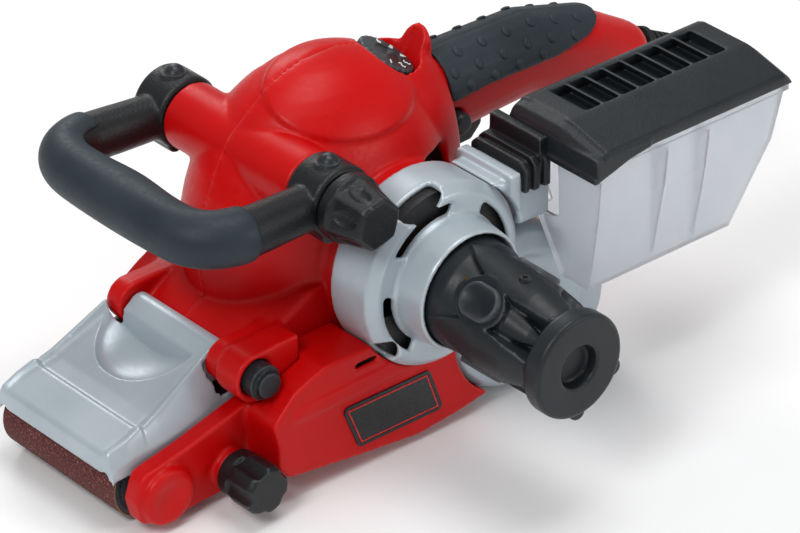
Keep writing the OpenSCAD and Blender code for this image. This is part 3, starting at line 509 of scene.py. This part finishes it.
def build_handle():
    path = handle_path()
    bm = bmesh.new()
    skin(bm, handle_rings(path, lambda i, a: 0.0))
    for s in (-1, 1):
        ends = sorted((s * 40.5, s * 59.3))
        y_lathe(bm, TUBE_X, TUBE_Z, [(ends[0], 15.6), (ends[0] + 0.8, 16.4), (ends[1] - 1.6, 16.4),
                                     (ends[1], 14.8)])
        z_lathe(bm, TUBE_X, s * EYE_Y, [(TUBE_Z + 6, 7.4), (TUBE_Z + 15.6, 6.2),
                                        (TUBE_Z + 16.4, 5.4)])
        # clamp lug under the tube end
        y_lathe(bm, TUBE_X + 6, TUBE_Z - 12.4, [(s * EYE_Y - 8.4, 4.4), (s * EYE_Y + 8.4, 4.4)],
                24)
    stand_in("front_handle", "moulded", remeshed(to_mesh(bm), 0.6, 7, 0.4))

    # the soft grip covers the loop in front of x = 60, and dips where it faces the machine
    first = next(i for i, c in enumerate(path) if c.x > 60.0)
    cover = path[first:len(path) - first]
    thick, sunk, edge_rings = 1.25, -1.2, 2

    def grip_growth(i, a):
        lip = min(1.0, (min(i, len(cover) - 1 - i) + 0.35) / edge_rings)
        g = thick * math.sin(0.5 * math.pi * lip)
        inner = abs(math.atan2(math.sin(a), math.cos(a)))
        return sunk + (g - sunk) * float(smoothstep((inner - 0.80) / 0.10))

    bm = bmesh.new()
    skin(bm, handle_rings(cover, grip_growth))
    stand_in("handle_grip", "soft", remeshed(to_mesh(bm), 0.6, 3, 0.45))


build_handle()


# ------------------------------------------------------------------ motor end cap
def cap_axis_z(y):
    """Height of the end cap's leaning axis."""
    return MOTOR_Z - CAP_DROP * (y - CAP_BACK) / (CAP_FRONT - CAP_BACK)


def turned(a, centre):
    """Angle from centre to a, between -180 and 180 degrees."""
    return (a - centre + 180.0) % 360.0 - 180.0


def end_cap_radius(y, a):
    """Outer radius of the end cap shell over length and angle, both arrays."""
    core = between(y, (84, 24.4), (97, 24.2), (112, 18.4), (126, 14.6), (140, 11.4), (150, 10.8))
    r = core.copy()
    for petal in PETALS:
        d = np.abs(turned(a, petal))
        half = between(y, (90, 0.0), (100, 13.0), (113, 25.0), (128, 27.0), (141, 23.0),
                       (147, 19.0), (151, 15.0))
        top = between(y, (88, 24.6), (100, 25.7), (118, 25.9), (134, 24.6), (146, 21.6),
                      (151, 18.0))
        crown = top - 1.4 * (d / 27.0) ** 2
        wall = smoothstep((half - d) / 2.6)
        r = np.maximum(r, core + (crown - core) * wall)
    for brush in BRUSHES:
        d = turned(a, brush)
        across = np.radians(d) * 22.0
        body = between(y, (94, 22.0), (103, 22.6), (116, 22.2), (128, 20.8), (139, 17.4),
                       (146, 12.8))
        wide = between(y, (94, 12.0), (104, 11.2), (120, 9.8), (134, 7.0), (146, 2.6))
        pod = body - 2.6 * (across / 10.0) ** 2
        r = np.maximum(r, np.where(np.abs(across) < wide, pod, 0.0))
        # flat oval face that the brush cap sits in
        disc = np.hypot(across / 10.4, (y - BRUSH_Y) / 13.0)
        face = 23.2 / np.maximum(np.cos(np.radians(d)), 0.8) - 0.4 * disc
        r = np.maximum(r, np.where(disc < 1.0, face, 0.0))
    return r


def build_end_cap():
    bm = bmesh.new()
    angles = np.arange(0.0, 360.0, 1.25)
    rings = []
    for y in np.linspace(CAP_BACK, CAP_FRONT, 150):
        r = end_cap_radius(np.full_like(angles, y), angles)
        z = cap_axis_z(y)
        rings.append([(MOTOR_X + q * math.cos(t), y, z + q * math.sin(t))
                      for q, t in zip(r, np.radians(angles))])
    skin(bm, rings)
    end_z = cap_axis_z(CAP_FRONT)
    # end ring with its round recess
    y_lathe(bm, MOTOR_X, end_z, [(146.6, 20.4), (148.4, 23.0), (149.4, 23.5), (155.6, 23.5),
                                 (156.6, 22.9), (157.0, 21.8), (157.0, 10.6), (156.4, 9.7),
                                 (152.2, 9.2), (151.4, 8.4), (151.2, 0.05)], 96)
    # webs that carry the petals into the end ring
    for petal in PETALS:
        t = math.radians(petal)
        u, v = (math.cos(t), math.sin(t)), (-math.sin(t), math.cos(t))
        skin(bm, [[(MOTOR_X + u[0] * q + v[0] * e, y, end_z + u[1] * q + v[1] * e)
                   for q, e in ((lo, -w), (hi, -w), (hi, w), (lo, w))]
                  for y, lo, hi, w in ((137.0, 9.0, 15.0, 3.4), (141.0, 8.0, 20.2, 5.0),
                                       (149.5, 8.0, 21.8, 6.4))])
    # feet under the end ring
    for foot in (205.0, 265.0):
        t = math.radians(foot)
        y_lathe(bm, MOTOR_X + 23.5 * math.cos(t), end_z + 23.5 * math.sin(t),
                [(148.8, 3.4), (149.4, 4.0), (154.2, 4.0), (154.8, 3.4)], 32)
    stand_in("motor_end_cap", "moulded", remeshed(to_mesh(bm), 0.5, 3, 0.35))


build_end_cap()


def build_brush_caps():
    """Oval screw-in caps of the carbon brushes, each a dished stadium in its boss."""
    bm = bmesh.new()
    stretch = 2.6                           # half of the stadium's straight length
    profile = ((18.0, 7.9), (23.6, 7.9), (24.4, 7.5), (24.7, 6.8), (24.5, 6.0), (23.9, 5.3),
               (23.7, 0.4))
    axis_z = cap_axis_z(BRUSH_Y)
    for brush in BRUSHES:
        t = math.radians(brush)
        out = Vector((math.cos(t), 0, math.sin(t)))
        side = Vector((-math.sin(t), 0, math.cos(t)))
        rings = []
        for lift, r in profile:
            ring = []
            for a in circle(64):
                end = stretch if math.sin(a) > 0 else -stretch
                along = r * math.sin(a) + end * min(1.0, r / 5.0)
                ring.append(Vector((MOTOR_X, BRUSH_Y + along, axis_z)) + out * lift
                            + side * (r * math.cos(a)))
            rings.append(ring)
        skin(bm, rings)
    caps = to_mesh(bm)
    shade_smooth(caps)
    stand_in("brush_caps", "dished", caps)


build_brush_caps()


# ------------------------------------------------------------------ nose cover
COVER_BACK, COVER_LIP = 51.5, 121.0         # of the cover's top sheet, along X
COVER_HALF = 41.2
BARREL = (-23.0, 31.0)                      # hinge barrel, along Y


def cover_height(x, y):
    """Top surface of the nose cover: plate, thumb hollow, side ridges, lip band and flanks."""
    base = between(x, (60, 57.2), (67, 55.4), (96, 41.6), (112, 36.4), (121, 33.4))
    side = np.abs(y)
    ridge_y = between(x, (64, 31.0), (112, 35.6))
    ridge = between(x, (66, 3.2), (90, 2.2), (112, 1.2)) * np.exp(-((side - ridge_y) / 1.8) ** 2)
    z = base + ridge
    z = z + 1.5 * between(x, (66, 1), (112, 0.2)) * smoothstep((side - ridge_y + 6) / 6.0)
    # the thumb hollow is the front half of a bowl that the hinge barrel cuts
    r = np.hypot(x - 65.0, (y + 3.0) / 1.02) / 25.5
    z = z - 9.0 * np.sqrt(np.clip(1.0 - r * r, 0.0, 1.0)) ** 1.1
    # raised band above the lip
    z = z + 1.5 * smoothstep((x - 103.5) / 1.6)
    foot = between(x, (52, 27.4), (80, 26.8), (112, 25.6), (121, 24.2))
    fall = smoothstep((side - ridge_y - 1.0) / np.maximum(COVER_HALF - ridge_y, 2.0))
    shelf = foot + between(x, (52, 7.5), (112, 3.0))
    mid = z + (shelf - z) * fall
    return np.where(side > 40.0, mid + (foot - mid) * smoothstep((side - 40.0) / 1.0), mid)


def cut_for_hinge(x, y, z):
    """True where the sheet leaves room for the hinge barrel and the arms beside it."""
    if BARREL[0] <= y <= BARREL[1]:
        return x < 61.0
    return math.hypot(x - HINGE_X, z - HINGE_Z) < 10.8 or (x < 66.0 and z > 43.0)


def build_front_cover():
    top_rows = 120
    xs = np.concatenate([np.linspace(COVER_BACK, COVER_LIP, top_rows),
                         [121.9, 122.6, 123.0, 123.1, 123.0, 122.8]])
    drops = np.concatenate([np.zeros(top_rows), [0.5, 1.7, 3.6, 5.8, 8.0, 9.6]])
    ys = np.linspace(-COVER_HALF, COVER_HALF, 150)
    gx, gy = np.meshgrid(xs, ys, indexing="ij")
    gz = cover_height(np.minimum(gx, COVER_LIP), gy)
    gz = np.maximum(gz - drops[:, None], np.minimum(gz, 24.0))
    gy = gy * between(gx, (60, 1.0), (76, 1.0), (114, 0.995), (123, 0.965))
    bm = bmesh.new()
    grid = [[bm.verts.new((gx[i, j] * MM, gy[i, j] * MM, gz[i, j] * MM)) for j in range(len(ys))]
            for i in range(len(xs))]
    for i in range(len(xs) - 1):
        for j in range(len(ys) - 1):
            if not cut_for_hinge(gx[i, j], gy[i, j], gz[i, j]):
                bm.faces.new((grid[i][j], grid[i + 1][j], grid[i + 1][j + 1], grid[i][j + 1]))
    bmesh.ops.delete(bm, geom=[v for v in bm.verts if not v.link_faces], context="VERTS")
    bmesh.ops.recalc_face_normals(bm, faces=bm.faces)
    if sum(f.normal.z for f in bm.faces) < 0:
        bmesh.ops.reverse_faces(bm, faces=bm.faces)
    work = linked("work", plain_mesh(bm))
    thick = work.modifiers.new("thick", "SOLIDIFY")
    thick.thickness, thick.offset = 2.2 * MM, -1.0
    solid = evaluated(work)
    bpy.data.objects.remove(work)
    bm = bmesh.new()
    bm.from_mesh(solid)
    back, front = BARREL
    y_lathe(bm, HINGE_X, HINGE_Z, [(back - 0.4, 4.9), (back, 5.5), (front, 5.5),
                                   (front + 0.4, 4.9)], 48)
    # web that joins the barrel to the plate
    web = [(HINGE_X + 3.0, HINGE_Z + 4.6), (HINGE_X + 8.2, HINGE_Z + 0.4),
           (HINGE_X + 9.6, HINGE_Z - 9.6), (HINGE_X + 7.0, HINGE_Z - 11.6),
           (HINGE_X + 1.0, HINGE_Z - 11.6), (HINGE_X + 1.0, HINGE_Z - 3.0)]
    y_prism(bm, web, back - 0.2, front + 0.2)
    stand_in("front_cover", "moulded", remeshed(to_mesh(bm), 0.55, 4, 0.4))


build_front_cover()


# ------------------------------------------------------------------ clamp knob
def build_clamp_knob():
    """Six-sided tapered knob with a long oval dish on every side."""
    bm = bmesh.new()
    rings = []
    for y in np.concatenate([[59.9, 60.1, 60.6], np.linspace(61.2, 80.6, 60), [81.4, 81.9, 82.1]]):
        cone = between(y, (59.9, 14.4), (60.6, 15.2), (65.5, 15.2), (66.5, 15.0), (80.6, 12.0),
                       (81.4, 11.5), (82.1, 10.4))
        flat = float(smoothstep((y - 64.5) / 3.0))
        ring = []
        for a in circle(180):
            off = (math.degrees(a) + 15.0) % 60.0 - 30.0
            six = cone * (1.0 - flat * 0.11 * (1.0 - (abs(off) / 30.0) ** 2.2))
            oval = 1.0 - (off / 15.0) ** 2 - ((y - 73.4) / 5.8) ** 2
            r = six - (1.3 * math.sqrt(oval) if oval > 0 else 0.0)
            ring.append((TUBE_X + r * math.cos(a), y, TUBE_Z + r * math.sin(a)))
        rings.append(ring)
    skin(bm, rings)
    stand_in("clamp_knob", "faceted", remeshed(to_mesh(bm), 0.45, 2, 0.5))


build_clamp_knob()


# ------------------------------------------------------------------ dust lid and collar
def build_dust_lid():
    """Lid with a sloping near band, slanted louvre blades and a skirt that rolls down in front."""
    lo, hi = (v * 1000 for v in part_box("dust_lid"))
    x0, x1, y0, y1, z0 = lo.x, hi.x, lo.y, hi.y, LID_SEAT_Z
    bm = bmesh.new()
    near = [(y1, z0), (y1, z0 + 3.6), (y1 - 1.6, z0 + 5.6), (y1 - 21, z0 + 10.4),
            (y1 - 24, z0 + 10.9), (y1 - 26.5, z0 + 10.9), (y1 - 26.5, z0 + 7), (y1 - 8, z0 + 2.6),
            (y1 - 4, z0)]
    far = [(y0 + 4, z0), (y0 + 6, z0 + 7), (y0 + 6, z0 + 10.9), (y0 + 4.6, z0 + 10.9),
           (y0 + 1.4, z0 + 9.8), (y0, z0 + 7.6), (y0, z0)]
    for outline in (near, far):
        x_prism(bm, outline, x0 + 6, x1 - 6)
    # the two ends, each sinking towards its outer edge
    crown = [(y0, z0), (y0, z0 + 7.6), (y0 + 1.4, z0 + 9.8), (y0 + 4.6, z0 + 10.9),
             (y1 - 24, z0 + 10.9), (y1 - 21, z0 + 10.4), (y1 - 1.6, z0 + 5.6), (y1, z0 + 3.6),
             (y1, z0)]
    for end in (((x0, 5.4), (x0 + 1.2, 3.4), (x0 + 5, 0.0), (x0 + 14, 0.0)),
                ((x1 - 17, 0.0), (x1 - 8, 0.0), (x1 - 2, 2.2), (x1, 5.6))):
        skin(bm, [[(x, y, max(z0, z - sink) if z > z0 else z) for y, z in crown]
                  for x, sink in end])
    # blades and the dark floor under them
    spaces = 8
    first, last = x0 + 14, x1 - 17
    for i in range(spaces + 1):
        x = first + (last - first) * i / spaces
        skin(bm, [[(x - 0.3, y, z0 + 10.7), (x + 1.3, y, z0 + 10.7), (x - 4.8, y, z0 + 3.4),
                   (x - 6.4, y, z0 + 3.4)] for y in (y0 + 4, y1 - 25)])
    block(bm, x0 + 8, x1 - 8, y0 + 3, y1 - 8, z0 + 3.0, z0 + 4.4)
    # rolled skirt round the front near corner
    skirt = ((x1 - 30, 0.0), (x1 - 18, 1.6), (x1 - 8, 4.6), (x1 - 2, 6.2), (x1 + 0.6, 6.6))
    skin(bm, [[(x, y1 - 2.6, z0 + 2), (x, y1 - 2.6, z0 - d), (x, y1 + 0.7, z0 - d),
               (x, y1 + 1.1, z0 + 1 - d), (x, y1 + 0.6, z0 + 3)] for x, d in skirt])
    block(bm, x1 - 3.4, x1 + 0.6, y0 + 4, y1, z0 - 6.4, z0 + 4)
    block(bm, x1 - 1.2, x1 + 1.6, y0 + 4, y1 + 0.4, z0 - 7.2, z0 - 4.6)
    stand_in("dust_lid", "moulded", remeshed(to_mesh(bm), 0.6, 3, 0.4))


def build_dust_collar():
    """Ribbed rubber saddle over the joint of duct and box."""
    lo, hi = (v * 1000 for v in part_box("dust_collar"))
    x1, y0, y1 = hi.x, lo.y + 1.0, hi.y - 0.6
    bm = bmesh.new()
    # ribs and the necks between them, as back, front, growth to both sides, and top
    for back, front, grow, top in ((-4.0, -0.2, 0.0, 121.0), (-1.2, 2.6, -2.4, 118.4),
                                   (1.8, 5.4, 0.0, 120.0), (4.6, 8.0, -2.4, 117.6),
                                   (7.2, 10.2, -0.6, 119.0)):
        a, b = y0 - grow, y1 + grow
        saddle = [(a, 106), (a, top - 3), (a + 3, top), (b - 3, top), (b, top - 3), (b, 105),
                  (b - 4.4, 105), (b - 4.4, 109), (a + 4.4, 109), (a + 4.4, 106)]
        x_prism(bm, saddle, x1 + back, x1 + front)
    block(bm, x1 - 4.0, x1 + 1.0, y0 + 2, y1 - 2, 112, 127.5)
    stand_in("dust_collar", "ribbed", remeshed(to_mesh(bm), 0.55, 5, 0.45))


build_dust_lid()
build_dust_collar()


# ------------------------------------------------------------------ raised dots on the rear grip
def build_dots():
    """Oval dots where rays from the handle's axis leave the soft rear grip."""
    pitch = 14.0
    lo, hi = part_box("rear_grip")
    probe = linked("probe", cad_copy("rear_grip"))
    bpy.context.view_layer.update()
    bm = bmesh.new()
    for tilt, shift in ((28, 0.0), (56, 0.5), (80, 0.0), (-28, 0.0), (-56, 0.5), (-80, 0.0)):
        t = math.radians(tilt)
        out = Vector((0.0, math.sin(t), math.cos(t)))
        x = lo.x * 1000 + pitch
        while x < hi.x * 1000 - 6.0:
            at = x + shift * pitch
            axis_z = float(between(at, (-190, 96.4), (-168, 110.6), (-134, 119.6), (-64, 120.0)))
            start = Vector((at, 0.0, axis_z)) * MM + out * 0.05
            hit, where, normal, _ = probe.ray_cast(start, -out)
            if hit and normal.dot(out) > 0.5:
                m = Matrix.Translation(where) @ normal.to_track_quat("Z", "X").to_matrix().to_4x4()
                m = m @ Matrix.Diagonal((0.0025, 0.0021, 0.0009, 1.0))
                bmesh.ops.create_uvsphere(bm, u_segments=20, v_segments=10, radius=1.0, matrix=m)
            x += pitch
    bpy.data.objects.remove(probe)
    dots = to_mesh(bm)
    shade_smooth(dots)
    add_piece("rear_grip", "dots", dots, REAR_GRIP)


build_dots()


# ------------------------------------------------------------------ label outline
def inset(points, d):
    """Moves the sides of a convex outline inwards by d."""
    n = len(points)
    cx, cz = sum(p[0] for p in points) / n, sum(p[1] for p in points) / n
    lines = []
    for i in range(n):
        (x0, z0), (x1, z1) = points[i], points[(i + 1) % n]
        nx, nz = z0 - z1, x1 - x0
        k = math.hypot(nx, nz)
        nx, nz = nx / k, nz / k
        if (cx - x0) * nx + (cz - z0) * nz < 0:
            nx, nz = -nx, -nz
        lines.append((nx, nz, nx * (x0 + nx * d) + nz * (z0 + nz * d)))
    out = []
    for i in range(n):
        a, b = lines[i - 1], lines[i]
        det = a[0] * b[1] - a[1] * b[0]
        out.append(((a[2] * b[1] - a[1] * b[2]) / det, (a[0] * b[2] - a[2] * b[0]) / det))
    return out


def build_label():
    """Thin red outline printed just inside the blank plate's edge."""
    bm = bmesh.new()
    outer, inner = inset(LABEL, 1.9), inset(LABEL, 2.5)
    for i in range(4):
        j = (i + 1) % 4
        y_prism(bm, [outer[i], outer[j], inner[j], inner[i]], LABEL_Y + 0.45, LABEL_Y + 0.78)
    add_piece("label_plate", "outline", to_mesh(bm), LABEL_RED)


build_label()


# ------------------------------------------------------------------ speed dial
def build_dial():
    """Thumbwheel with a knurled rim, a dished face and the numbers 1 to 6."""
    place = (Matrix.Translation(Vector(DIAL_AT) * MM)
             @ Matrix.Rotation(math.radians(DIAL_PITCH), 4, "Y")
             @ Matrix.Rotation(math.radians(DIAL_ROLL), 4, "X"))
    ridges = 24
    bm = bmesh.new()
    rings = []
    for z, r in ((-5.0, 0.05), (-5.0, 12.4), (-4.4, 12.9), (-0.9, 12.9), (-0.1, 12.2),
                 (0.0, 11.4), (0.0, 6.6), (-0.5, 5.8), (-0.9, 0.05)):
        rim = r > 12.0 and z < -0.05
        ring = []
        for t in circle(6 * ridges):
            knurl = 0.45 * max(0.0, math.cos(ridges * t)) if rim else 0.0
            ring.append(((r + knurl) * math.cos(t), (r + knurl) * math.sin(t), z))
        rings.append(ring)
    skin(bm, rings)
    wheel = to_mesh(bm)
    wheel.transform(place)
    stand_in("speed_dial", "wheel", wheel)

    bm = bmesh.new()
    for n in range(1, 7):
        curve = bpy.data.curves.new("digit", "FONT")
        curve.body, curve.size, curve.extrude = str(n), 0.0050, 0.00016
        curve.align_x = curve.align_y = "CENTER"
        holder = linked("digit", curve)
        digit = evaluated(holder)
        bpy.data.objects.remove(holder)
        digit.transform(place @ Matrix.Rotation(math.radians(20 + 40 * n), 4, "Z")
                        @ Matrix.Translation((0.0091, 0, 0.0001))
                        @ Matrix.Rotation(math.radians(-90), 4, "Z"))
        bm.from_mesh(digit)
        bpy.data.meshes.remove(digit)
    add_piece("speed_dial", "numbers", plain_mesh(bm), WHITE_INK)


build_dial()


# ------------------------------------------------------------------ stage
def aimed(name, data, where, direction):
    """A light or camera at a place, looking along a direction."""
    o = linked(name, data)
    o.location = where
    o.rotation_euler = direction.to_track_quat("-Z", "Y").to_euler()
    return o


def build_stage():
    scene = bpy.context.scene
    scene.view_settings.view_transform = "Standard"
    world = bpy.data.worlds.new("studio")
    scene.world = world
    world.use_nodes = True
    back = world.node_tree.nodes["Background"]
    back.inputs["Color"].default_value = (1.0, 1.0, 1.0, 1.0)
    back.inputs["Strength"].default_value = 0.40

    bm = bmesh.new()
    bmesh.ops.create_grid(bm, x_segments=1, y_segments=1, size=6.0)
    floor = linked("floor", to_mesh(bm))
    floor.location = (0, 0, -0.0004)
    s = Shader("pale_floor")
    s.set(Base_Color=s.ramp(s.noise(3.0), (0.3, (0.90, 0.905, 0.91)), (0.7, (0.93, 0.932, 0.935))),
          Roughness=0.75)
    floor.data.materials.append(s.mat)

    for name, where, at, size, watt in (
            ("key", (1.3, 0.5, 1.5), (0.0, 0.0, 0.06), 0.7, 15.0),
            ("top", (-0.2, 0.1, 1.7), (0.0, 0.0, 0.05), 0.9, 11.0),
            ("side", (-0.9, 1.6, 0.7), (-0.05, 0.05, 0.06), 0.6, 6.0),
            ("rim", (-0.6, -1.4, 1.1), (0.0, 0.0, 0.1), 0.7, 7.0)):
        light = bpy.data.lights.new(name, "AREA")
        light.shape, light.size, light.energy = "DISK", size, watt
        aimed(name, light, where, Vector(at) - Vector(where))

    # the camera stands where the photograph's did, found from the part's outline in it
    target, distance = Vector((-0.067, 0.0, 0.0349)), 2.129
    azimuth, elevation = math.radians(49), math.radians(31)
    away = Vector((math.cos(elevation) * math.cos(azimuth),
                   math.cos(elevation) * math.sin(azimuth), math.sin(elevation)))
    cam = bpy.data.cameras.new("camera")
    cam.sensor_width, cam.lens = 36.0, 220.7
    cam.clip_start, cam.clip_end = 0.05, 50.0
    scene.camera = aimed("camera", cam, target + away * distance, -away)


build_stage()
